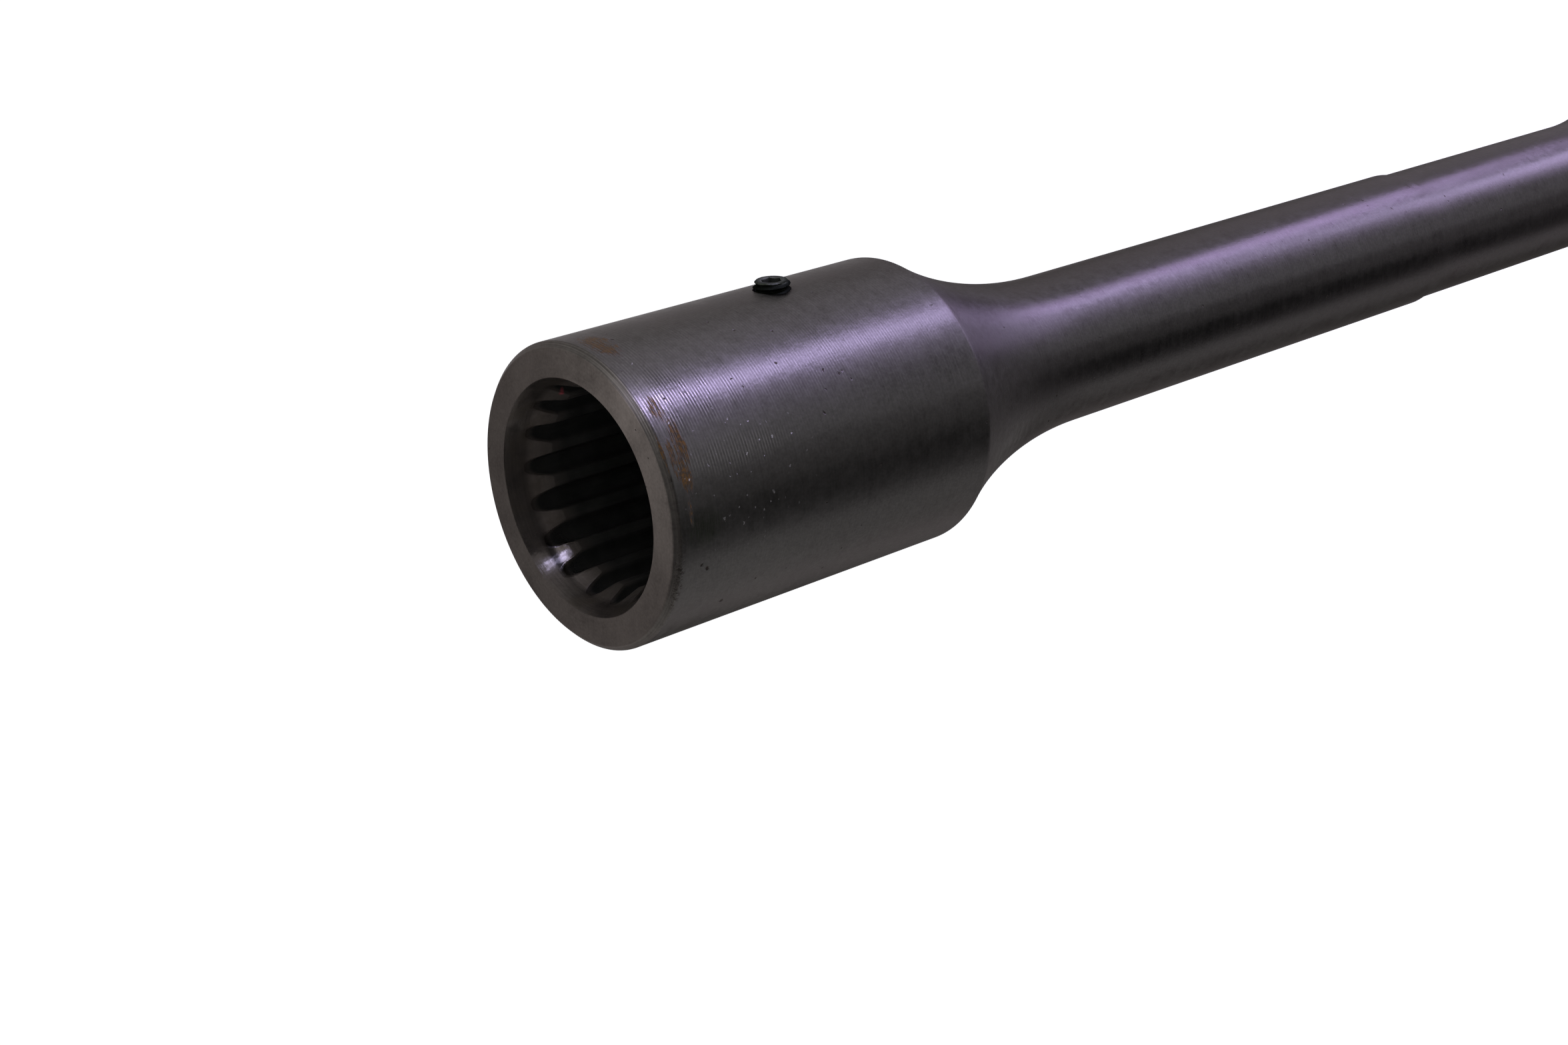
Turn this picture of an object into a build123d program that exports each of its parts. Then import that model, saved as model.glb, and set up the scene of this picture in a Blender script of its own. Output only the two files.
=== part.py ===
from build123d import *
import math
import os

# A turned steel drive shaft: two cylindrical heads on one slim shaft, each head with a
# blind splined socket. It stands on its lower head. +Z runs up the axis, and the origin
# is the centre of the lower end face. The set screw's hole opens along +X.

# Shaft, in millimetres
overall_length = 305.0
head_diameter = 40.0
head_length = 53.0
face_chamfer = 0.8
shoulder_angle = 31.0
neck_fillet_radius = 62.0
least_cone_drop = 0.2
neck_diameter = 21.9
tail_diameter = 21.2
changeover_depth = 167.5
changeover_run = 1.2

# Splined socket, one in each head
tooth_count = 18
pressure_angle = 30.0
pitch_diameter = 27.8
spline_minor_diameter = 26.2
spline_major_diameter = 29.0
root_fillet = 0.6
mouth_diameter = 31.0
lead_in_angle = 22.0
spline_depth = 41.0
relief_width = 4.5
relief_over_major = 0.7
drill_point_angle = 118.0

# Set screw in the upper head
screw_diameter = 5.0
screw_length = 6.0
screw_stand_out = 1.2
screw_depth = 33.4
screw_hole_clearance = 0.05
screw_end_chamfer = 0.45
screw_point_chamfer = 1.0
hex_across_flats = 2.5
hex_depth = 2.4

# Sizes that follow from those above
head_radius = head_diameter / 2
pitch_radius = pitch_diameter / 2
minor_radius = spline_minor_diameter / 2
major_radius = spline_major_diameter / 2
mouth_radius = mouth_diameter / 2
relief_radius = major_radius + relief_over_major
socket_floor = spline_depth + relief_width


def shoulder_sizes(shaft_radius):
    """Fillet radius, and the axial runs of the fillet and of the cone behind a head."""
    slope = math.radians(shoulder_angle)
    drop = head_radius - shaft_radius
    largest_radius = (drop - least_cone_drop) / (1 - math.cos(slope))
    radius = min(neck_fillet_radius, largest_radius)
    cone_drop = drop - radius * (1 - math.cos(slope))
    return radius, radius * math.sin(slope), cone_drop / math.tan(slope)


def make_blank():
    """The turned outside, as one revolved outline from the lower face to the upper."""
    low_radius, low_arc, low_cone = shoulder_sizes(tail_diameter / 2)
    high_radius, high_arc, high_cone = shoulder_sizes(neck_diameter / 2)
    low_tangent = (tail_diameter / 2, head_length + low_cone + low_arc)
    high_tangent = (neck_diameter / 2, overall_length - head_length - high_cone - high_arc)
    step_top = overall_length - changeover_depth
    with BuildPart() as blank:
        with BuildSketch(Plane.XZ):
            with BuildLine():
                high_fillet = JernArc(high_tangent, (0, 1), high_radius, -shoulder_angle)
                Polyline(
                    high_fillet @ 1,
                    (head_radius, overall_length - head_length),
                    (head_radius, overall_length - face_chamfer),
                    (head_radius - face_chamfer, overall_length),
                    (0, overall_length),
                    (0, 0),
                    (head_radius - face_chamfer, 0),
                    (head_radius, face_chamfer),
                    (head_radius, head_length),
                    (head_radius - low_cone * math.tan(math.radians(shoulder_angle)),
                     head_length + low_cone),
                )
                JernArc(low_tangent, (0, -1), low_radius, shoulder_angle)
                Polyline(
                    low_tangent,
                    (tail_diameter / 2, step_top - changeover_run),
                    (neck_diameter / 2, step_top),
                    high_tangent,
                )
            make_face()
        revolve(axis=Axis.Z)
    return blank.part


def involute(angle):
    return math.tan(angle) - angle


def space_half_angle(radius):
    """Half the angle that a tooth space takes at a radius, by the involute formula."""
    at_pitch = math.radians(pressure_angle)
    here = math.acos(pitch_radius * math.cos(at_pitch) / radius)
    return math.pi / (2 * tooth_count) + involute(at_pitch) - involute(here)


def flank_point(radius, side):
    angle = side * space_half_angle(radius)
    return (radius * math.cos(angle), radius * math.sin(angle))


def make_tooth_space():
    """One groove between two teeth, centred on +X, with rounded root corners."""
    inner_radius = minor_radius - (major_radius - minor_radius) / 4
    steps = 4
    radii = [inner_radius + (major_radius - inner_radius) * i / steps for i in range(steps + 1)]
    with BuildSketch() as space:
        with BuildLine():
            upper = Spline([flank_point(radius, 1) for radius in radii])
            lower = Spline([flank_point(radius, -1) for radius in radii])
            ThreePointArc(upper @ 1, (major_radius, 0), lower @ 1)
            Line(upper @ 0, lower @ 0)
        make_face()
        root_corners = space.vertices().sort_by(Axis.X)[-2:]
        fillet(root_corners, root_fillet)
    return space.sketch


def make_socket():
    """What a splined socket removes, with its mouth at z = 0 and its floor at -Z."""
    point_slope = math.tan(math.radians(drill_point_angle / 2))
    lead_in_depth = (mouth_radius - minor_radius) / math.tan(math.radians(lead_in_angle))
    with BuildPart() as socket:
        with BuildSketch(Plane.XZ):
            with BuildLine():
                Polyline(
                    (0, 0),
                    (mouth_radius, 0),
                    (minor_radius, -lead_in_depth),
                    (minor_radius, -spline_depth),
                    (relief_radius, -spline_depth),
                    (relief_radius, -socket_floor),
                    (minor_radius, -socket_floor),
                    (0, -socket_floor - minor_radius / point_slope),
                    close=True,
                )
            make_face()
        revolve(axis=Axis.Z)
        with BuildSketch(Plane.XY.offset(-spline_depth)):
            Circle(minor_radius)
            with PolarLocations(0, tooth_count, start_angle=180 / tooth_count):
                add(make_tooth_space())
        extrude(amount=spline_depth)
    return socket.part


def make_drive_shaft():
    upper_socket = Pos(0, 0, overall_length) * make_socket()
    lower_socket = Rot(180, 0, 0) * make_socket()
    hole_radius = screw_diameter / 2 + screw_hole_clearance
    hole = Cylinder(hole_radius, head_radius, align=(Align.CENTER, Align.CENTER, Align.MIN))
    screw_hole = Pos(0, 0, overall_length - screw_depth) * Rot(0, 90, 0) * hole
    return make_blank() - upper_socket - lower_socket - screw_hole


def make_set_screw():
    """Headless screw with a hexagon socket, standing a little proud of the head."""
    outer_end = head_radius + screw_stand_out
    body = Cylinder(screw_diameter / 2, screw_length, align=(Align.CENTER, Align.CENTER, Align.MAX))
    body = chamfer(body.edges().sort_by(Axis.Z)[-1], screw_end_chamfer)
    body = chamfer(body.edges().sort_by(Axis.Z)[0], screw_point_chamfer)
    hexagon = RegularPolygon(hex_across_flats / 2, 6, major_radius=False)
    body -= extrude(hexagon, amount=-hex_depth)
    return Pos(outer_end, 0, overall_length - screw_depth) * Rot(0, 90, 0) * body


nodes = {
    "drive_shaft": make_drive_shaft(),
    "set_screw": make_set_screw(),
}

os.makedirs("parts", exist_ok=True)
for name, solid in nodes.items():
    export_step(solid, f"parts/{name}.step")
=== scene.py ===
import math

import bmesh
import bpy
from mathutils import Matrix, Vector


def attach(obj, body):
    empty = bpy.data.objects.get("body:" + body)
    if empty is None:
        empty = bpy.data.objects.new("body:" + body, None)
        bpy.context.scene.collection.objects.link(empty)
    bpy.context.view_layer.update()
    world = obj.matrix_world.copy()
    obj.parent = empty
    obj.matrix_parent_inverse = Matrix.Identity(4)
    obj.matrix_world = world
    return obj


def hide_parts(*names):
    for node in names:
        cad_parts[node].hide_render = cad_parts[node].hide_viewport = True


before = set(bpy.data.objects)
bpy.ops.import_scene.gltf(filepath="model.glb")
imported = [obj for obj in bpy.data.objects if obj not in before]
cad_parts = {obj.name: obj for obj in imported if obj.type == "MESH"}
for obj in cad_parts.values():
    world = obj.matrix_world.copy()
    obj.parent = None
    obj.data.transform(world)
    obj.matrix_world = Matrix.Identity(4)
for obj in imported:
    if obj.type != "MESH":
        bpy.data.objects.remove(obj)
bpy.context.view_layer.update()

# Looks of the turned steel drive shaft, in metres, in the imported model's own frame.
# The shaft stands on its lower head, and the camera looks down on the upper one.
# Depths are measured down from the upper face, and azimuths are turned from +X.

# Shaft, repeated from the part's source
shaft_length = 0.305
head_radius = 0.020
head_length = 0.053
face_chamfer = 0.0008
shoulder_slope = math.radians(31)
neck_fillet_radius = 0.062
least_cone_drop = 0.0002
neck_radius = 0.01095
tail_radius = 0.0106
step_depth = 0.1675
step_run = 0.0012

# Splined sockets, repeated from the part's source
tooth_count = 18
pressure_angle = math.radians(30)
pitch_radius = 0.0139
crest_radius = 0.0131
root_radius = 0.0145
mouth_radius = 0.0155
lead_in_slope = math.radians(22)
spline_depth = 0.041
relief_width = 0.0045
relief_radius = 0.0152
drill_point_slope = math.radians(59)
deepest_depth = spline_depth + relief_width + crest_radius / math.tan(drill_point_slope)

# Set screw, repeated from the part's source
screw_radius = 0.0025
screw_length = 0.006
screw_stand_out = 0.0012
screw_depth = 0.0334
screw_hole_clearance = 0.00005
screw_end_chamfer = 0.00045
screw_point_chamfer = 0.001
hex_across_flats = 0.0025
hex_depth = 0.0024

# Meshes
columns_per_tooth = 28
longest_span = 0.006
fillet_steps = 24
edge_steps = 4
edge_leg = 0.00022
mouth_leg = 0.0001
rear_edge_leg = 0.0003
root_blend = 0.0008
crest_blend = 0.0004
tooth_edge_bevel = 0.00008
shaft_sharp_angle = 35
socket_paint_radius = 0.0154
screw_hole_columns = 48
screw_hole_inner_end = 0.00624
screw_hole_outer_end = 0.021
screw_columns = 96
screw_sharp_angle = 30
screw_rim_inset = 0.0001
hex_floor_slope = 0.35
funnel_radius = 0.0015
funnel_slope = 0.6
thread_pitch = 0.0008
thread_depth = 0.00045
thread_flat = 0.12
thread_flank = 0.66
thread_row = 0.0001

# Camera, solved from the photograph's perspective
camera_place = (0.1035, -0.2368, 0.4708)
camera_azimuth = 116.1045
camera_pitch = -37.1011
camera_roll = 109.1247
camera_lens = 56.43
camera_sensor = 36.0

# Light and cards
floor_half = 4.0
floor_glow = 0.2
strip_height = 0.28
strip_distance = 0.35
lying_height = 0.002
card_height = 0.001
far_edge = 1.4
wall_distance = 1.2
wall_top = 0.95
glint_azimuth = -15
glint_elevation = 8
lilac = (0.64, 0.55, 1.0)
glint_blue = (0.6, 0.62, 1.0)
pale_lilac = (0.85, 0.78, 1.0)
deep_lilac = (0.6, 0.46, 0.95)
dark_card = (0.07, 0.07, 0.07, 1)
far_card = (0.14, 0.14, 0.13, 1)
side_card = (0.47, 0.46, 0.45, 1)
grey_card = (0.36, 0.35, 0.34, 1)
near_card = (0.28, 0.27, 0.26, 1)

# Colours
steel_colour = (0.056, 0.0535, 0.0515, 1)
face_colour = (0.090, 0.078, 0.072, 1)
chamfer_colour = (0.058, 0.053, 0.049, 1)
# Painted shade: the sockets' steel darkened, and more in their grooves
shaded_socket_colour = (0.025, 0.025, 0.024, 1)
shaded_groove_colour = (0.019, 0.019, 0.0185, 1)
cone_colour = (0.058, 0.050, 0.046, 1)
rust_colour = (0.048, 0.026, 0.008, 1)
dark_rust_colour = (0.021, 0.016, 0.010, 1)
pit_colour = (0.020, 0.017, 0.015, 1)
smudge_colour = (0.037, 0.041, 0.031, 1)
nick_colour = (0.20, 0.195, 0.20, 1)
oxide_colour = (0.006, 0.007, 0.0055, 1)
# Painted light: the screw's top is lighter than its dark sides
oxide_lit_top_colour = (0.040, 0.044, 0.036, 1)
# Painted light: a pale fill that lifts the shade in the screw's hexagon
hexagon_light_colour = (0.055, 0.057, 0.050, 1)
# Painted glint: a small red glint in the upper socket's lead-in cone
red_glint_colour = (0.5, 0.12, 0.14, 1)
steel_edge_tint = (0.6, 0.57, 0.57, 1)
oxide_edge_tint = (0.1, 0.1, 0.1, 1)

# Gloss
steel_roughness = 0.41
socket_roughness = 0.34
oxide_roughness = 0.6
dull_specular = 0.15

# Sizes that the materials use, in millimetres
millimetres = 1000.0
feed_pitch = 0.44
head_top = shaft_length * millimetres
head_rear = head_length * millimetres
head_side = head_radius * millimetres
face_rim = (head_radius - face_chamfer) * millimetres
chamfer_end = face_chamfer * millimetres
screw_place = screw_depth * millimetres
screw_top = (head_radius + screw_stand_out) * millimetres

# Marks on the upper head, given as (azimuth, depth in mm, radius in mm)
pits = ((-127, 9.4, 0.4), (-120, 14, 0.25), (-104, 4, 0.3), (-106, 5, 0.35), (-42, 4.5, 0.2),
        (-46, 16, 0.2), (-42, 15, 0.2), (-49, 28.5, 0.25), (-55, 32, 0.25), (-41, 22.5, 0.2),
        (-27, 25.5, 0.2), (-13, 19, 0.2), (-7, 5.5, 0.3), (-56, 27.5, 0.2))
nicks = ((-66, 17, 0.25), (-67, 20, 0.2), (-69, 12.5, 0.25), (-78, 18.5, 0.2), (-85, 15.5, 0.3),
         (-89, 7.5, 0.25), (-93, 10.5, 0.2), (-51, 3.3, 0.16), (-72, 3.3, 0.16), (-24, 4, 0.15))

# Marks on the upper face, given as (azimuth, distance from the axis in mm, radius in mm)
face_pits = ((-48, 18, 0.16), (-60, 17.9, 0.2), (-52, 19.3, 0.18), (-63, 17.4, 0.12))
face_nicks = ((-41, 15.55, 0.16), (-50, 19.5, 0.14))

# Rust by the upper head's front edge, as (azimuth, depth in mm, half angle, half depth, strength)
rust_spots = ((-7, 3.4, 16, 3.0, 1.2), (-59, 3.5, 14, 1.4, 1.2), (-69, 2.9, 12, 1.4, 1.2),
              (-64, 1.9, 12, 0.9, 1.0), (-83, 2.5, 9, 0.6, 0.8), (-61, 0.8, 11, 0.3, 1.3),
              (-45, 2.6, 9, 1.5, 0.8))

# Areas on the upper half, given as (azimuth, depth in mm, half angle, half depth)
feed_patch = (-43, 3, 18, 17)
feed_highlight = (-42, 25, 18, 36)
feed_band = (-67, 11, 9, 12)
feed_around = (-20, 20, 60, 60)
pit_row = (-107, 0.8, 24, 0.9)
nick_field = (-76, 12, 34, 15)
smudge_area = (-90, 4.5, 9, 4)
darkest_rust = (-9, 3, 14, 3.4)
# Partly painted: the chamfer's turned lines are real, and are painted as bright glints most strongly
# here
chamfer_glint_area = (-34, 0.4, 22, 3)
# Painted highlight: the steel is lightened at the front edge where the highlight falls
painted_highlight_area = (-42, 2.2, 17, 4)
# Painted light: lighter steel near the front, between the highlight and the dark band
painted_front_light = (-63, 5, 16, 20)
# Painted shade: the dark band drawn further up near the head's rear
painted_rear_shade = (-60, 45, 12, 17)
# Painted light: the shoulder's steel lightened beside the dark band
painted_shoulder_light = (-101, 57, 38, 24)
# Painted shade: the shoulder dimmed under its highlight
painted_shoulder_shade = (-42, 57, 34, 13)
# Painted shade: the fillet dimmed under its highlight
painted_fillet_shade = (-33, 65, 15, 18)
# Painted shade: the face is darkened away from this lit area
lit_face = (-58, 0, 88, 30)
polished_cone = (139, 1, 24, 12)
# Painted shade: a dark band across the lead-in cone that splits its glint
cone_shade = (139, 2.6, 22, 0.9)
# Painted glint: a small red glint in the lead-in cone
red_glint = (36, 4.7, 2.8, 0.45)
screw_rust = (8, screw_place, 6, 3.5)
# Painted light that lifts the shade in the screw's hexagon
hexagon_light_area = (0, screw_place, 6, 2.1)

# Depths in mm from either end, at which a look is absent and at which it is full
front_feed = (14.0, 1.0)
front_paleness = (30.0, 10.0)
behind_head = (80.0, 62.0)
# Painted shade: the steel darkened along the shaft, away from both heads
painted_shaft_shade = (50.0, 90.0)
glossier_shaft = (66.0, 90.0)
lead_in_end = (9.0, 4.0)
# Painted light on the wedges between the grooves in the lead-in cone
wedge_light_start = (2.2, 3.6)
wedge_light_end = (8.5, 4.5)


# Mesh making

def smooth_min(a, b, blend):
    overlap = max(blend - abs(a - b), 0) / blend
    return min(a, b) - overlap * overlap * blend / 4


def smooth_max(a, b, blend):
    return -smooth_min(-a, -b, blend)


def involute(angle):
    return math.tan(angle) - angle


def flank_radius(angle):
    """Radius at which a tooth's flank lies, at an angle from the middle of the space."""
    base_radius = pitch_radius * math.cos(pressure_angle)
    low, high = base_radius, mouth_radius * 1.1
    for _ in range(40):
        middle = (low + high) / 2
        half_space = (math.pi / (2 * tooth_count) + involute(pressure_angle)
                      - involute(math.acos(base_radius / middle)))
        if half_space > abs(angle):
            low = middle
        else:
            high = middle
    return low


def wall_radius(angle):
    """Radius of the splined wall, with its root corners rounded and its crests eased."""
    wall = smooth_min(root_radius, flank_radius(angle), root_blend)
    return smooth_max(crest_radius, wall, crest_blend)


def soften(before, corner, after, leg):
    """A corner of an outline as a small curve that starts and ends a leg away from it."""
    before, corner, after = Vector(before), Vector(corner), Vector(after)
    start = corner + (before - corner).normalized() * leg
    end = corner + (after - corner).normalized() * leg
    shares = [i / edge_steps for i in range(edge_steps + 1)]
    return [(start * (1 - t) ** 2 + corner * 2 * t * (1 - t) + end * t * t)[:] for t in shares]


def shoulder(shaft_radius):
    """Cone and fillet behind a head, as (radius, depth) with the depth from the head's rear."""
    drop = head_radius - shaft_radius
    largest = (drop - least_cone_drop) / (1 - math.cos(shoulder_slope))
    fillet = min(neck_fillet_radius, largest)
    cone_drop = drop - fillet * (1 - math.cos(shoulder_slope))
    cone_run = cone_drop / math.tan(shoulder_slope)
    points = []
    for i in range(fillet_steps + 1):
        angle = shoulder_slope * (1 - i / fillet_steps)
        points.append((shaft_radius + fillet * (1 - math.cos(angle)),
                       cone_run + fillet * (math.sin(shoulder_slope) - math.sin(angle))))
    return points


def half_outline(shaft_radius):
    """Turned outside of one end, as (radius, depth) from the socket's mouth to the shaft."""
    behind = [(radius, depth + head_length) for radius, depth in shoulder(shaft_radius)]
    mouth, face_edge = (mouth_radius, 0), (head_radius - face_chamfer, 0)
    side_start, side_end = (head_radius, face_chamfer), (head_radius, head_length)
    in_socket = (mouth_radius - math.tan(lead_in_slope), 1)
    points = soften(face_edge, mouth, in_socket, mouth_leg)[::-1]
    points += soften(mouth, face_edge, side_start, edge_leg)
    points += soften(face_edge, side_start, side_end, edge_leg)
    points += soften(side_start, side_end, behind[0], rear_edge_leg)
    return points + behind


def fill(points):
    """The same outline with its long spans cut into shorter ones."""
    filled = [points[0]]
    for start, end in zip(points, points[1:]):
        pieces = max(1, math.ceil(math.dist(start, end) / longest_span))
        for i in range(1, pieces + 1):
            filled.append(tuple(Vector(start).lerp(Vector(end), i / pieces)))
    return filled


def socket_rings(walls):
    """Rings of (radius, depth) up the socket, from near its floor's middle to its mouth."""
    floor_depth = spline_depth + relief_width
    rings = []
    for share in (0.04, 0.3, 0.65, 1.0):
        radius = crest_radius * share
        depth = floor_depth + (crest_radius - radius) / math.tan(drill_point_slope)
        rings.append([(radius, depth)] * len(walls))
    rings.append([(relief_radius, floor_depth)] * len(walls))
    rings.append([(relief_radius, spline_depth)] * len(walls))
    run_out = [(mouth_radius - wall) / math.tan(lead_in_slope) for wall in walls]
    for share in (0, 0.25, 0.5, 0.75, 1):
        rings.append([(wall, spline_depth + (end + tooth_edge_bevel - spline_depth) * share)
                      for wall, end in zip(walls, run_out)])
    for share in (1, 0.75, 0.5, 0.25):
        ring = []
        for end in run_out:
            depth = (end - tooth_edge_bevel) * share
            ring.append((mouth_radius - depth * math.tan(lead_in_slope), depth))
        rings.append(ring)
    return rings


def add_grid(name, rings, angles, first_point, last_point):
    """A closed mesh from rings of (radius, height), capped by one point at each end."""
    points = [first_point]
    for ring in rings:
        points += [(radius * math.cos(angle), radius * math.sin(angle), height)
                   for (radius, height), angle in zip(ring, angles)]
    points.append(last_point)
    count, last = len(angles), len(points) - 1
    faces = []
    for column in range(count):
        after = (column + 1) % count
        faces.append((0, 1 + after, 1 + column))
        for row in range(len(rings) - 1):
            here, above = 1 + row * count, 1 + (row + 1) * count
            faces.append((here + column, here + after, above + after, above + column))
        top = 1 + (len(rings) - 1) * count
        faces.append((top + column, top + after, last))
    mesh = bpy.data.meshes.new(name)
    mesh.from_pydata(points, [], faces)
    mesh.validate()
    piece = bpy.data.objects.new(name, mesh)
    bpy.context.scene.collection.objects.link(piece)
    return piece


def face_outwards(mesh):
    work = bmesh.new()
    work.from_mesh(mesh)
    bmesh.ops.recalc_face_normals(work, faces=work.faces)
    work.to_mesh(mesh)
    work.free()


def apply_modifiers(piece):
    graph = bpy.context.evaluated_depsgraph_get()
    made = bpy.data.meshes.new_from_object(piece.evaluated_get(graph))
    old = piece.data
    piece.modifiers.clear()
    piece.data = made
    bpy.data.meshes.remove(old)
    made.name = piece.name


def smooth_shade(piece, sharp_angle):
    """Smooth shading that keeps edges above an angle, with the large faces' normals."""
    piece.data.shade_smooth()
    piece.data.set_sharp_from_angle(angle=math.radians(sharp_angle))
    weighted = piece.modifiers.new("weighted", "WEIGHTED_NORMAL")
    weighted.keep_sharp = True
    apply_modifiers(piece)


def make_shaft():
    column_count = tooth_count * columns_per_tooth
    angles = [2 * math.pi * i / column_count for i in range(column_count)]
    pitch = 2 * math.pi / tooth_count
    walls = [wall_radius((angle % pitch) - pitch / 2) for angle in angles]
    sockets = socket_rings(walls)

    step_top = (neck_radius, step_depth)
    step_bottom = (tail_radius, step_depth + step_run)
    lower_half = [(radius, shaft_length - depth) for radius, depth in half_outline(tail_radius)]
    outline = fill(half_outline(neck_radius) + [step_top, step_bottom] + lower_half[::-1])

    rings = [[(radius, shaft_length - depth) for radius, depth in ring] for ring in sockets]
    rings += [[(radius, shaft_length - depth)] * column_count for radius, depth in outline]
    rings += sockets[::-1]
    piece = add_grid("shaft_body", rings, angles,
                     (0, 0, shaft_length - deepest_depth), (0, 0, deepest_depth))
    face_outwards(piece.data)
    cut_screw_hole(piece)
    smooth_shade(piece, shaft_sharp_angle)
    return piece


def cut_screw_hole(piece):
    work = bmesh.new()
    radius = screw_radius + screw_hole_clearance
    length = screw_hole_outer_end - screw_hole_inner_end
    turn = Matrix.Rotation(math.radians(90), 4, "Y")
    middle = Vector((screw_hole_outer_end - length / 2, 0, shaft_length - screw_depth))
    bmesh.ops.create_cone(work, cap_ends=True, segments=screw_hole_columns, depth=length,
                          radius1=radius, radius2=radius,
                          matrix=Matrix.Translation(middle) @ turn)
    mesh = bpy.data.meshes.new("screw_hole")
    work.to_mesh(mesh)
    work.free()
    cutter = bpy.data.objects.new("screw_hole", mesh)
    bpy.context.scene.collection.objects.link(cutter)
    cut = piece.modifiers.new("hole", "BOOLEAN")
    cut.operation = "DIFFERENCE"
    cut.solver = "EXACT"
    cut.object = cutter
    apply_modifiers(piece)
    bpy.data.objects.remove(cutter)
    bpy.data.meshes.remove(mesh)


def paint_socket(mesh, slot):
    """Gives the material in a slot to the faces inside the two sockets."""
    for face in mesh.polygons:
        x, y, z = face.center
        end_depth = min(z, shaft_length - z)
        if mouth_leg < end_depth < deepest_depth and math.hypot(x, y) < socket_paint_radius:
            face.material_index = slot


def screw_rings(angles):
    """Rings of (radius, height) for the set screw, from its hexagon's floor round to its point."""
    apothem = hex_across_flats / 2
    walls = [apothem / math.cos(angle % math.radians(60) - math.radians(30)) for angle in angles]
    rings = []
    for share in (0.1, 0.55, 0.98):
        floor = -hex_depth - (1 - share) * apothem * hex_floor_slope
        rings.append([(wall * share, floor) for wall in walls])
    rings.append([(wall, -hex_depth) for wall in walls])
    rings.append([(wall, (wall - funnel_radius) * funnel_slope) for wall in walls])
    rings.append([(funnel_radius, 0)] * len(angles))
    rings.append([(screw_radius - screw_end_chamfer - screw_rim_inset, 0)] * len(angles))
    rows = round(screw_length / thread_row)
    for row in range(rows + 1):
        height = -screw_length * row / rows
        outer = screw_radius - max(0, screw_end_chamfer + height)
        outer = min(outer, screw_radius - max(0, screw_point_chamfer - screw_length - height))
        ring = []
        for angle in angles:
            turn = (height / thread_pitch - angle / (2 * math.pi)) % 1
            groove = min(1, max(0, (abs(turn - 0.5) * 2 - thread_flat) / thread_flank))
            ring.append((min(outer, screw_radius - thread_depth * groove), height))
        rings.append(ring)
    tip = screw_radius - screw_point_chamfer
    for share in (0.7, 0.1):
        rings.append([(tip * share, -screw_length)] * len(angles))
    return rings


def make_screw():
    angles = [2 * math.pi * i / screw_columns for i in range(screw_columns)]
    floor = -hex_depth - hex_across_flats / 2 * hex_floor_slope
    piece = add_grid("socket_set_screw", screw_rings(angles), angles,
                     (0, 0, floor), (0, 0, -screw_length))
    outer_end = Vector((head_radius + screw_stand_out, 0, shaft_length - screw_depth))
    turn = Matrix.Rotation(math.radians(90), 4, "Y")
    piece.data.transform(Matrix.Translation(outer_end) @ turn)
    face_outwards(piece.data)
    smooth_shade(piece, screw_sharp_angle)
    return piece


# Node trees

class Graph:
    """Short calls that build a node tree. Each returns the output socket of a new node."""

    def __init__(self, owner):
        owner.use_nodes = True
        self.tree = owner.node_tree
        self.tree.nodes.clear()

    def put(self, socket, value):
        if isinstance(value, bpy.types.NodeSocket):
            self.tree.links.new(value, socket)
        else:
            socket.default_value = value

    def add(self, kind, inputs=None, output=0, **settings):
        node = self.tree.nodes.new(kind)
        for name, value in settings.items():
            setattr(node, name, value)
        for name, value in (inputs or {}).items():
            self.put(node.inputs[name], value)
        return node.outputs[output] if node.outputs else None

    def math(self, operation, *values):
        result = self.add("ShaderNodeMath", operation=operation)
        for socket, value in zip(result.node.inputs, values):
            self.put(socket, value)
        return result

    def total(self, first, *others):
        for other in others:
            first = self.math("ADD", first, other)
        return first

    def product(self, first, *others):
        for other in others:
            first = self.math("MULTIPLY", first, other)
        return first

    def vector(self, operation, *values, output=0):
        result = self.add("ShaderNodeVectorMath", output=output, operation=operation)
        for socket, value in zip(result.node.inputs, values):
            self.put(socket, value)
        return result

    def scaled(self, vector, factor):
        return self.add("ShaderNodeVectorMath", {"Vector": vector, "Scale": factor}, operation="SCALE")

    def between(self, share, start, end):
        return self.add("ShaderNodeMapRange", {"Value": share, "To Min": start, "To Max": end})

    def tint(self, share, start, end):
        result = self.add("ShaderNodeMix", output=2, data_type="RGBA")
        self.put(result.node.inputs[0], share)
        self.put(result.node.inputs[6], start)
        self.put(result.node.inputs[7], end)
        return result

    def shade(self, colour, factor):
        result = self.add("ShaderNodeMix", output=2, data_type="RGBA", blend_type="MULTIPLY")
        self.put(result.node.inputs[0], 1.0)
        self.put(result.node.inputs[6], colour)
        grey = self.add("ShaderNodeCombineXYZ", {"X": factor, "Y": factor, "Z": factor})
        self.put(result.node.inputs[7], grey)
        return result

    def rise(self, value, low, high):
        """0 below low and 1 above high, or the other way round where low is the larger."""
        return self.add("ShaderNodeMapRange", {"Value": value, "From Min": low, "From Max": high},
                        interpolation_type="SMOOTHSTEP")

    def noise(self, vector, scale=1.0, detail=2.0):
        return self.add("ShaderNodeTexNoise", {"Vector": vector, "Scale": scale, "Detail": detail})

    def cells(self, vector, scale):
        return self.add("ShaderNodeTexVoronoi", {"Vector": vector, "Scale": scale})

    def seen_directly(self):
        """1 for camera, glossy and transmission rays, and 0 for the rest."""
        path = self.add("ShaderNodeLightPath").node.outputs
        both = self.math("MAXIMUM", path["Is Camera Ray"], path["Is Glossy Ray"])
        return self.math("MAXIMUM", both, path["Is Transmission Ray"])


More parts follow.
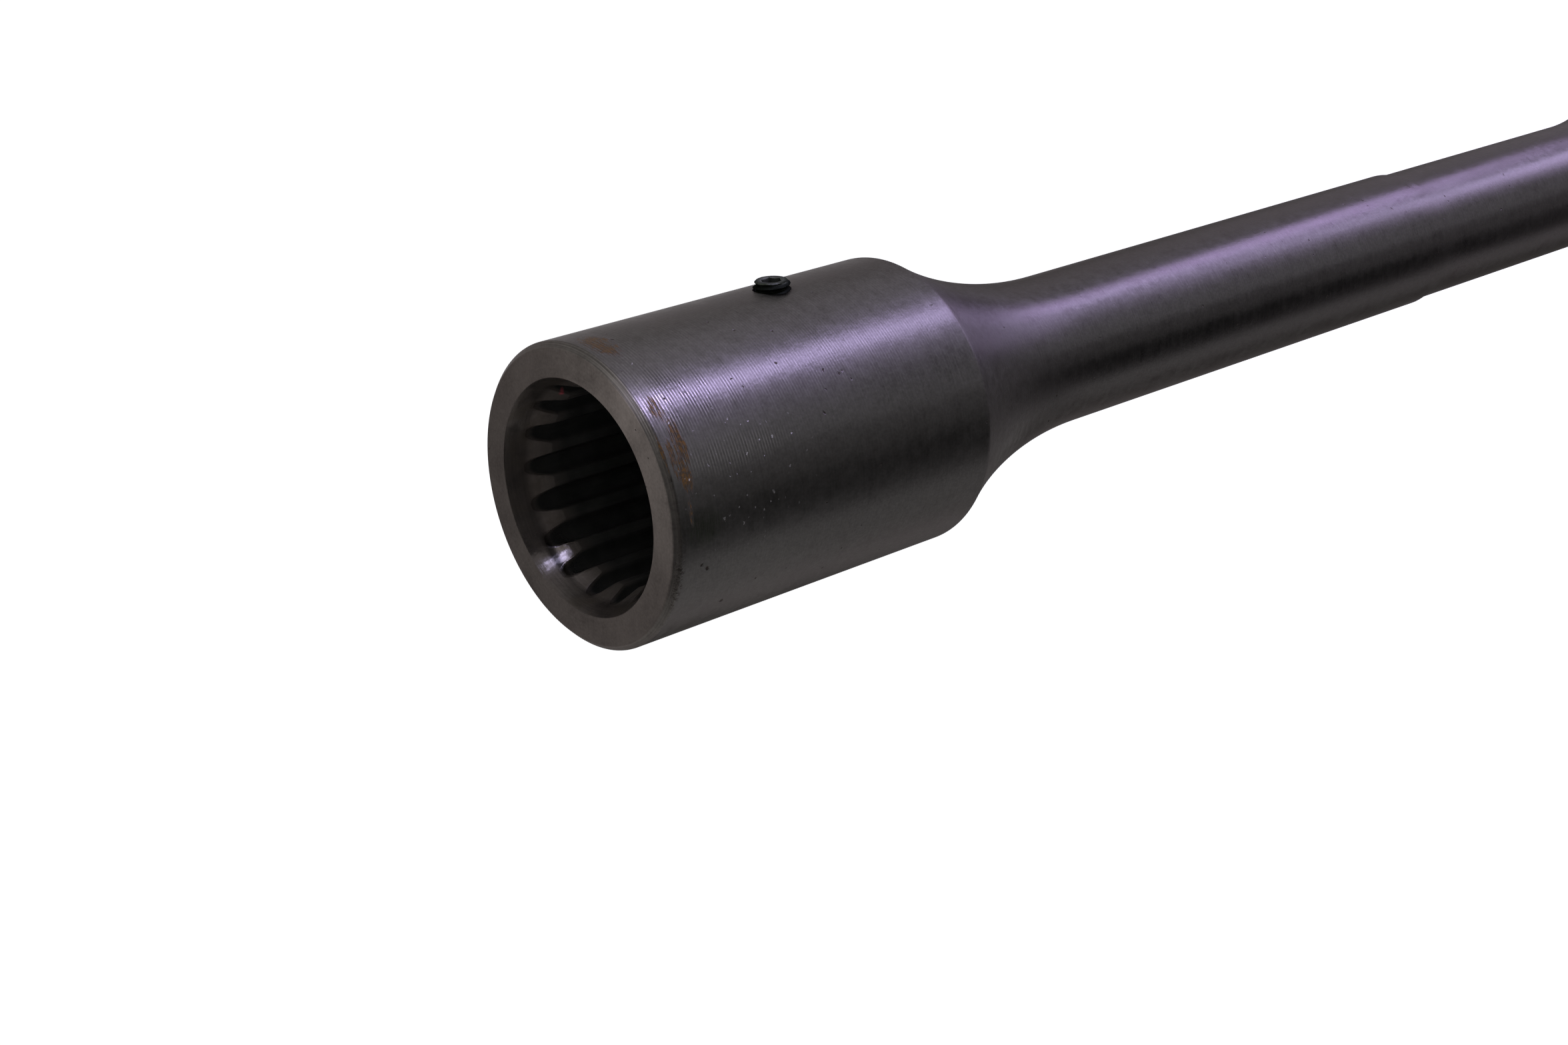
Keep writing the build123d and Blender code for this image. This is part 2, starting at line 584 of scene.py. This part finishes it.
class Turned(Graph):
    """A material's tree with the places that turning marks follow, in millimetres."""

    def __init__(self, name):
        self.material = bpy.data.materials.new(name)
        super().__init__(self.material)
        self.place = self.scaled(self.add("ShaderNodeTexCoord", output=3), millimetres)
        x, y, z = self.add("ShaderNodeSeparateXYZ", {"Vector": self.place}).node.outputs
        self.spoke = self.add("ShaderNodeCombineXYZ", {"X": x, "Y": y, "Z": 0.0})
        self.radius = self.vector("LENGTH", self.spoke, output=1)
        self.azimuth = self.math("ARCTAN2", y, x)
        self.height = z
        self.depth = self.math("SUBTRACT", head_top, z)
        self.end_depth = self.math("MINIMUM", z, self.depth)

    def rings(self, turns, lines):
        """A vector for noise that is drawn out round the axis, in fine lines along it."""
        around = self.scaled(self.vector("NORMALIZE", self.spoke), turns)
        along = self.product(self.math("SUBTRACT", self.height, self.radius), lines)
        return self.vector("ADD", around, self.add("ShaderNodeCombineXYZ", {"Z": along}))

    def spots(self, place, marks, on_face=False):
        """1 at the middle of each mark on the head's side or face, falling to 0 at its radius."""
        found = 0.0
        for azimuth, position, radius in marks:
            middle = direction(azimuth, 0) * (position if on_face else head_side)
            middle.z = head_top - (0 if on_face else position)
            away = self.vector("DISTANCE", place, middle, output=1)
            found = self.math("MAXIMUM", found, self.rise(away, radius, radius * 0.35))
        return found

    def near(self, azimuth, depth, half_angle, half_depth):
        """1 at a place on the shaft, falling to 0 at the edge of an oval round it."""
        turn = self.math("SUBTRACT", self.azimuth, math.radians(azimuth))
        turn = self.math("DIVIDE", turn, math.radians(half_angle))
        rise = self.math("DIVIDE", self.math("SUBTRACT", self.depth, depth), half_depth)
        away = self.math("SQRT", self.total(self.product(turn, turn), self.product(rise, rise)))
        return self.rise(away, 1.0, 0.2)

    def finish(self, colour, metallic, roughness, height):
        """The steel's shader, with the height in millimetres."""
        shader = self.add("ShaderNodeBsdfPrincipled").node
        self.put(shader.inputs["Base Color"], colour)
        self.put(shader.inputs["Metallic"], metallic)
        self.put(shader.inputs["Roughness"], roughness)
        bump = self.add("ShaderNodeBump",
                        {"Height": height, "Distance": 1 / millimetres, "Strength": 1.0})
        self.put(shader.inputs["Normal"], bump)
        self.add("ShaderNodeOutputMaterial", {"Surface": shader.outputs[0]})
        return shader


def turning_marks(graph):
    """The lathe's feed as one fine helix, 1 on its crests and 0 between them."""
    travel = graph.math("SUBTRACT", graph.height, graph.product(graph.radius, 0.9))
    turns = graph.product(graph.azimuth, 1 / (2 * math.pi))
    phase = graph.math("FRACT", graph.math("SUBTRACT", graph.product(travel, 1 / feed_pitch), turns))
    side = graph.math("SUBTRACT", graph.product(phase, 2.0), 1.0)
    return graph.product(side, side)


def feed_strength(graph, breaks, mottle):
    """How clearly the feed shows: most at the front's highlight, and little on the shaft."""
    front = graph.rise(graph.end_depth, *front_feed)
    head = graph.rise(graph.end_depth, head_rear + 3.0, head_rear - 3.0)
    around = graph.near(*feed_around)
    clear = graph.total(graph.product(graph.near(*feed_patch), 0.9),
                        graph.product(graph.near(*feed_highlight), 0.22),
                        graph.product(graph.near(*feed_band), 0.4),
                        graph.product(front, around, 0.12),
                        graph.product(head, around, 0.06), 0.03)
    return graph.product(clear, graph.between(graph.rise(breaks, 0.35, 0.6), 0.55, 1.3),
                         graph.between(graph.rise(mottle, 0.36, 0.6), 0.6, 1.3),
                         graph.rise(graph.end_depth, 0.1, 0.5))


def rust_mask(graph, drawn, mottle):
    """The placed rust, broken up into streaks that are drawn out round the axis."""
    rust = 0.0
    for *spot, strength in rust_spots:
        rust = graph.math("MAXIMUM", rust, graph.product(graph.near(*spot), strength))
    uneven = graph.total(graph.between(drawn, -2.8, 2.8), graph.between(mottle, -1.4, 1.4))
    return graph.product(graph.rise(graph.total(rust, uneven), 0.0, 1.4), graph.rise(rust, 0.0, 0.8))


def pit_mask(graph, place, clouds, grain):
    """The placed pits, small ones strewn in patches, and a row along the front edge."""
    strewn = graph.product(graph.rise(graph.cells(place, scale=0.42), 0.09, 0.045),
                           graph.rise(clouds, 0.48, 0.6))
    edge = graph.product(graph.near(*pit_row), graph.rise(graph.end_depth, 0.1, 0.3),
                         graph.rise(grain, 0.49, 0.62), 0.75)
    found = graph.math("MAXIMUM", graph.spots(place, pits), strewn)
    found = graph.math("MAXIMUM", found, graph.spots(place, face_pits, on_face=True))
    return graph.math("MAXIMUM", found, edge)


def nick_mask(graph, place):
    """The placed bright nicks, with many small ones about them."""
    shifted = graph.vector("ADD", place, (7.0, 3.0, 5.0))
    strewn = graph.rise(graph.cells(shifted, scale=0.8), 0.13, 0.06)
    strewn = graph.product(strewn, graph.near(*nick_field))
    found = graph.math("MAXIMUM", graph.spots(place, nicks), strewn)
    return graph.math("MAXIMUM", found, graph.spots(place, face_nicks, on_face=True))


def make_turned_steel():
    """The shaft's bare steel: clouds of tone, the lathe's feed, rust, pits, nicks, painted light and
    shade.
    """
    graph = Turned("turned_steel_look")
    clouds = graph.noise(graph.place, scale=0.16, detail=3.0)
    mottle = graph.noise(graph.place, scale=0.7, detail=4.0)
    grain = graph.noise(graph.place, scale=2.6, detail=3.0)
    streaks = graph.noise(graph.rings(turns=2.5, lines=3.2), detail=3.0)
    drawn = graph.noise(graph.rings(turns=9.0, lines=7.0), detail=3.0)
    breaks = graph.noise(graph.rings(turns=4.0, lines=0.8))
    marks = turning_marks(graph)
    feed = feed_strength(graph, breaks, mottle)

    wobble = graph.add("ShaderNodeTexNoise", {"Vector": graph.place, "Scale": 2.5}, output=1)
    wobble = graph.scaled(graph.vector("SUBTRACT", wobble, (0.5, 0.5, 0.5)), 0.6)
    shifted = graph.vector("ADD", graph.place, wobble)
    pit = pit_mask(graph, shifted, clouds, grain)
    nick = nick_mask(graph, shifted)
    rust = rust_mask(graph, drawn, mottle)
    smudge = graph.product(graph.near(*smudge_area), graph.rise(drawn, 0.35, 0.6), 0.9)

    behind = graph.product(graph.rise(graph.end_depth, head_rear - 0.5, head_rear + 1.0),
                           graph.rise(graph.end_depth, *behind_head))
    face = graph.rise(graph.end_depth, 0.15, 0.05)
    # Painted shade on the face, away from its lit side
    painted_face_shade = graph.product(face, graph.math("SUBTRACT", 1.0, graph.near(*lit_face)))
    chamfer = graph.product(graph.rise(graph.radius, face_rim - 0.1, face_rim + 0.1),
                            graph.rise(graph.end_depth, chamfer_end + 0.15, chamfer_end - 0.05))
    chamfer_lines = graph.noise(graph.rings(turns=1.2, lines=4.0))
    # Turned lines on the chamfer, painted as bright glints most strongly at one side
    turned = graph.between(graph.near(*chamfer_glint_area), 0.15, 1.0)
    front = graph.rise(graph.end_depth, *front_paleness)
    # Painted highlight at the front edge, where the highlight falls
    painted_highlight = graph.product(graph.near(*painted_highlight_area), graph.between(mottle, 0.0, 0.8))
    tone = graph.total(1.0, graph.product(front, 0.09), painted_highlight,
                       # painted light near the front and painted shade near the rear
                       graph.product(graph.near(*painted_front_light), 0.14),
                       graph.product(graph.near(*painted_rear_shade), -0.16),
                       graph.between(clouds, -0.2, 0.2), graph.between(streaks, -0.18, 0.18),
                       graph.between(mottle, -0.35, 0.35), graph.between(grain, -0.3, 0.3),
                       graph.product(feed, graph.between(marks, -0.45, 0.75)),
                       # the chamfer's turned lines, painted as glints
                       graph.product(chamfer, turned, graph.between(chamfer_lines, -3.0, 3.4)),
                       graph.product(face, graph.between(clouds, -0.3, 0.3)))
    # Painted shade: darker along the shaft, away from both heads
    tone = graph.product(tone, graph.between(graph.rise(graph.end_depth, *painted_shaft_shade), 1.0, 0.8),
                         # painted shade behind the head
                         graph.between(behind, 1.0, 0.86),
                         # painted light on the shoulder beside the dark band
                         graph.between(graph.product(behind, graph.near(*painted_shoulder_light)), 1.0, 1.9),
                         # painted shade that dims the fillet's and shoulder's highlight
                         graph.between(graph.product(behind, graph.near(*painted_fillet_shade)), 1.0, 0.72),
                         graph.between(graph.product(behind, graph.near(*painted_shoulder_shade)), 1.0, 0.76),
                         # painted shade on the face
                         graph.between(painted_face_shade, 1.0, 0.56))
    colour = graph.tint(face, graph.tint(chamfer, steel_colour, chamfer_colour), face_colour)
    colour = graph.tint(smudge, colour, smudge_colour)
    dark_share = graph.math("MAXIMUM", graph.rise(grain, 0.38, 0.6),
                            graph.product(graph.near(*darkest_rust), 0.5))
    mixed_rust = graph.tint(dark_share, rust_colour, dark_rust_colour)
    colour = graph.tint(graph.rise(rust, 0.0, 0.9), colour, mixed_rust)
    colour = graph.shade(colour, tone)
    colour = graph.tint(pit, colour, pit_colour)
    colour = graph.tint(nick, colour, nick_colour)

    roughness = graph.total(steel_roughness, graph.between(clouds, -0.08, 0.08),
                            graph.between(streaks, -0.06, 0.06), graph.between(mottle, -0.1, 0.1),
                            graph.product(feed, marks, -0.12), graph.product(rust, 0.3),
                            graph.product(behind, 0.04),
                            graph.product(graph.rise(graph.end_depth, *glossier_shaft), -0.07))
    height = graph.total(graph.product(feed, marks, 0.014), graph.between(streaks, 0.0, 0.01),
                         graph.between(mottle, 0.0, 0.012), graph.between(grain, 0.0, 0.01),
                         graph.product(pit, -0.05), graph.product(nick, -0.03),
                         graph.product(rust, grain, 0.04))
    metallic = graph.math("SUBTRACT", 1.0, graph.product(rust, 0.9))
    shader = graph.finish(colour, metallic, roughness, height)
    shader.inputs["Specular IOR Level"].default_value = dull_specular
    shader.inputs["Anisotropic"].default_value = 0.8
    shader.inputs["Anisotropic Rotation"].default_value = 0.25
    shader.inputs["Specular Tint"].default_value = steel_edge_tint
    graph.put(shader.inputs["Tangent"],
              graph.add("ShaderNodeTangent", direction_type="RADIAL", axis="Z"))
    return graph.material


def make_broached_steel():
    """The sockets' steel: painted dark as shade, darkest in the grooves, with the broach's marks along
    the teeth.
    """
    graph = Turned("broached_steel_look")
    clouds = graph.noise(graph.place, scale=0.35, detail=3.0)
    drawn = graph.noise(graph.vector("MULTIPLY", graph.place, (4.0, 4.0, 0.12)), detail=3.0)
    lead_in = graph.rise(graph.end_depth, *lead_in_end)
    inside = graph.math("SUBTRACT", 1.0, lead_in)
    rings = graph.noise(graph.rings(turns=2.0, lines=5.0))
    lines = graph.total(graph.product(lead_in, rings), graph.product(inside, drawn))
    # Painted light on the wedges between the grooves in the lead-in cone
    wedge_light = graph.product(graph.rise(graph.end_depth, *wedge_light_start),
                          graph.rise(graph.end_depth, *wedge_light_end))
    tone = graph.total(1.0, graph.between(clouds, -0.6, 0.6), graph.between(lines, -0.25, 0.25),
                       graph.product(wedge_light, 1.3))
    # painted shade across the cone's glint
    tone = graph.product(tone, graph.between(graph.near(*cone_shade), 1.0, 0.15))
    cone = graph.math("SUBTRACT", mouth_radius * millimetres,
                      graph.product(graph.end_depth, math.tan(lead_in_slope)))
    crest = graph.math("MAXIMUM", cone, crest_radius * millimetres)
    groove = graph.rise(graph.math("SUBTRACT", graph.radius, crest), 0.05, 0.5)
    # painted shade inside the sockets, darkest in the grooves
    colour = graph.tint(groove, graph.tint(lead_in, shaded_socket_colour, cone_colour), shaded_groove_colour)
    colour = graph.shade(colour, tone)
    stain = graph.product(graph.rise(clouds, 0.4, 0.7), lead_in, 0.6)
    stain = graph.product(stain, graph.math("SUBTRACT", 1.0, groove))
    colour = graph.tint(stain, colour, dark_rust_colour)
    # painted red glint in the lead-in cone
    colour = graph.tint(graph.near(*red_glint), colour, red_glint_colour)
    polished = graph.product(lead_in, graph.near(*polished_cone))
    roughness = graph.total(socket_roughness, graph.between(clouds, -0.1, 0.14),
                            graph.product(inside, 0.14), graph.product(polished, -0.17))
    height = graph.total(graph.between(lines, 0.0, 0.01), graph.between(clouds, 0.0, 0.06))
    metallic = graph.total(0.85, graph.product(stain, -0.2), graph.product(inside, -0.35))
    shader = graph.finish(colour, metallic, roughness, height)
    shader.inputs["Specular Tint"].default_value = steel_edge_tint
    return graph.material


def make_black_oxide():
    """The screw's finish: worn grey edges, rusty at one side, painted light on its top and in its
    hexagon.
    """
    graph = Turned("black_oxide_look")
    grain = graph.noise(graph.place, scale=2.4, detail=3.0)
    edges = graph.add("ShaderNodeNewGeometry").node.outputs["Pointiness"]
    worn = graph.product(graph.rise(edges, 0.53, 0.6), graph.rise(grain, 0.35, 0.6))
    rust = graph.product(graph.near(*screw_rust), graph.rise(grain, 0.4, 0.65))
    tone = graph.total(1.0, graph.between(grain, -0.5, 0.5))
    # Painted light: the screw's top lighter than its sides
    top = graph.rise(graph.radius, screw_top - 0.3, screw_top - 0.05)
    colour = graph.shade(graph.tint(top, oxide_colour, oxide_lit_top_colour), tone)
    colour = graph.tint(graph.product(worn, top, 0.5), colour, steel_colour)
    # Painted light in the hexagon, lifting its shade
    hexagon_light = graph.product(graph.near(*hexagon_light_area), 0.85)
    colour = graph.tint(hexagon_light, graph.tint(rust, colour, dark_rust_colour), hexagon_light_colour)
    roughness = graph.total(oxide_roughness, graph.product(top, -0.12),
                            graph.between(grain, -0.08, 0.12))
    height = graph.between(grain, 0.0, 0.05)
    metallic = graph.math("SUBTRACT", 0.95, graph.math("MAXIMUM", rust, hexagon_light))
    shader = graph.finish(colour, metallic, roughness, height)
    shader.inputs["Specular IOR Level"].default_value = dull_specular
    shader.inputs["Specular Tint"].default_value = oxide_edge_tint
    return graph.material


# Camera, lamps and stage

def direction(azimuth, elevation):
    a, e = math.radians(azimuth), math.radians(elevation)
    return Vector((math.cos(a) * math.cos(e), math.sin(a) * math.cos(e), math.sin(e)))


def make_camera():
    forward = direction(camera_azimuth, camera_pitch)
    side = forward.cross(Vector((0, 0, 1))).normalized()
    level_up = side.cross(forward)
    roll = math.radians(camera_roll)
    up = level_up * math.cos(roll) + side * math.sin(roll)
    right = forward.cross(up)
    data = bpy.data.cameras.new("photo_camera")
    data.lens = camera_lens
    data.sensor_width = camera_sensor
    data.clip_start = 0.01
    data.clip_end = 50
    camera = bpy.data.objects.new("photo_camera", data)
    turn = Matrix((right, up, -forward)).transposed().to_4x4()
    camera.matrix_world = Matrix.Translation(camera_place) @ turn
    bpy.context.scene.collection.objects.link(camera)
    bpy.context.scene.camera = camera


def add_lamp(name, place, facing, along, width, length, power, colour):
    """A soft rectangular lamp, with its long side along one direction."""
    data = bpy.data.lights.new(name, "AREA")
    data.shape = "RECTANGLE"
    data.size = width
    data.size_y = length
    data.energy = power
    data.color = colour
    lamp = bpy.data.objects.new(name, data)
    across = along.cross(-facing)
    turn = Matrix((across, along, -facing)).transposed().to_4x4()
    lamp.matrix_world = Matrix.Translation(place) @ turn
    lamp.visible_camera = False
    bpy.context.scene.collection.objects.link(lamp)


def make_standing_strip(name, azimuth, width, power, colour):
    """A strip lamp that stands on the floor, faces the shaft's axis and is nearly as tall."""
    place = direction(azimuth, 0) * strip_distance + Vector((0, 0, strip_height / 2))
    add_lamp(name, place, -direction(azimuth, 0), Vector((0, 0, 1)),
             width=width, length=strip_height, power=power, colour=colour)


def make_lying_strip(name, azimuth, near, far, width, power, colour):
    """A strip lamp that lies on the floor, points away from the shaft and faces up."""
    place = direction(azimuth, 0) * (near + far) / 2 + Vector((0, 0, lying_height))
    add_lamp(name, place, Vector((0, 0, 1)), direction(azimuth, 0),
             width=width, length=far - near, power=power, colour=colour)


def make_world():
    world = bpy.data.worlds.new("studio")
    graph = Graph(world)
    back = graph.add("ShaderNodeBackground", {"Color": (1, 1, 1, 1), "Strength": 1.0})
    graph.add("ShaderNodeOutputWorld", {"Surface": back})
    bpy.context.scene.world = world


def add_stage(name, points, faces, material):
    mesh = bpy.data.meshes.new(name)
    mesh.from_pydata(points, [], faces)
    mesh.materials.append(material)
    piece = bpy.data.objects.new(name, mesh)
    bpy.context.scene.collection.objects.link(piece)
    return piece


def make_floor():
    """A pale floor that its own glow lifts to white for the camera and for gloss."""
    half = floor_half
    corners = [(-half, -half, 0), (half, -half, 0), (half, half, 0), (-half, half, 0)]
    material = bpy.data.materials.new("pale_floor")
    graph = Graph(material)
    paint = graph.add("ShaderNodeBsdfDiffuse", {"Color": (0.85, 0.85, 0.85, 1)})
    glow = graph.add("ShaderNodeEmission", {"Color": (1, 1, 1, 1)})
    graph.put(glow.node.inputs["Strength"], graph.between(graph.seen_directly(), 0.0, floor_glow))
    both = graph.add("ShaderNodeAddShader", {0: paint, 1: glow})
    graph.add("ShaderNodeOutputMaterial", {"Surface": both})
    add_stage("floor", corners, [(0, 1, 2, 3)], material)


def make_glint():
    """The small lamp whose glint shows in the upper socket's lead-in cone, a metre away."""
    toward = direction(glint_azimuth, glint_elevation)
    along = Vector((toward.y, -toward.x, 0)).normalized()
    place = toward + Vector((0, 0, shaft_length))
    add_lamp("glint", place, -toward, along, width=0.08, length=0.03, power=0.85, colour=glint_blue)


def make_card(name, start, end, first, second, colour):
    """A card round the shaft that only its gloss sees, between two edges (distance, height)."""
    steps = 12
    points, faces = [], []
    for i in range(steps + 1):
        turn = direction(start + (end - start) * i / steps, 0)
        points += [(turn.x * away, turn.y * away, height) for away, height in (first, second)]
    for i in range(steps):
        faces.append((2 * i, 2 * i + 1, 2 * i + 3, 2 * i + 2))
    material = bpy.data.materials.new(name)
    graph = Graph(material)
    paint = graph.add("ShaderNodeBsdfDiffuse", {"Color": colour})
    graph.add("ShaderNodeOutputMaterial", {"Surface": paint})
    card = add_stage(name, points, faces, material)
    card.visible_camera = False
    card.visible_shadow = False
    card.visible_diffuse = False


def make_lying_card(name, start, end, near, far, colour):
    make_card(name, start, end, (near, card_height), (far, card_height), colour)


make_camera()
make_world()
make_floor()
make_lying_card("front_card", start=-134, end=-100, near=0.06, far=far_edge, colour=dark_card)
make_lying_card("side_card", start=-100, end=-76, near=0.06, far=far_edge, colour=side_card)
make_lying_card("rear_card", start=118, end=160, near=0.27, far=0.36, colour=grey_card)
make_lying_card("far_card", start=118, end=160, near=0.36, far=far_edge, colour=far_card)
make_lying_card("near_card", start=64, end=195, near=0.02, far=0.27, colour=near_card)
make_card("high_card", start=-150, end=-30, first=(wall_distance, 0.2),
          second=(wall_distance, wall_top), colour=dark_card)
make_card("top_card", start=-205, end=-50, first=(wall_distance, wall_top),
          second=(0.5, 1.5), colour=grey_card)
make_standing_strip("key_strip", azimuth=-20, width=0.06, power=1.46, colour=lilac)
make_standing_strip("fill_strip", azimuth=10, width=0.25, power=0.16, colour=pale_lilac)
make_lying_strip("low_strip", azimuth=-20, near=0.04, far=0.16, width=0.03, power=0.17, colour=lilac)
make_lying_strip("shaft_strip", azimuth=-1, near=0.11, far=0.22, width=0.05, power=0.34,
                 colour=deep_lilac)
make_glint()

shaft = make_shaft()
shaft.data.materials.append(make_turned_steel())
shaft.data.materials.append(make_broached_steel())
paint_socket(shaft.data, 1)
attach(shaft, "root")
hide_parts("drive_shaft")

screw = make_screw()
screw.data.materials.append(make_black_oxide())
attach(screw, "root")
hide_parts("set_screw")

bpy.context.scene.view_settings.view_transform = "Standard"
